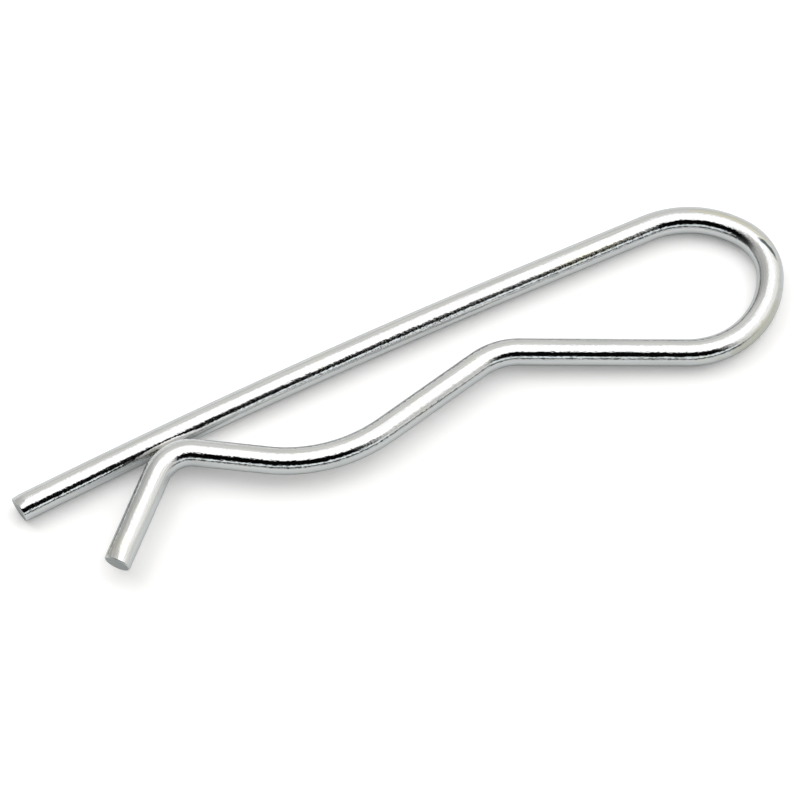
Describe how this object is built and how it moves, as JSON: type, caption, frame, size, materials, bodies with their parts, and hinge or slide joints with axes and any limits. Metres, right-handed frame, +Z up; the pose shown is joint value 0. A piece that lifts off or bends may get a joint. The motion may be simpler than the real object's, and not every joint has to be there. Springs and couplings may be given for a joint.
{
  "type": "hitch pin clip",
  "caption": "Bent spring-wire clip with a straight leg, a round loop and a shaped leg that snaps over a hitch pin to stop it backing out.",
  "frame": {"origin": "middle of the clip's footprint, at the lowest point of the wire as it lies flat", "axes": "+X along the long leg from its cut tip to the loop, +Y from the shaped leg towards the long leg, +Z up out of the clip's plane"},
  "size_m": [0.094, 0.0218, 0.0046],
  "materials": {
    "zinc_plate": "bright zinc plate over drawn spring wire"
  },
  "bodies": {
    "root": {"spring_wire": "zinc_plate"}
  },
  "joints": []
}
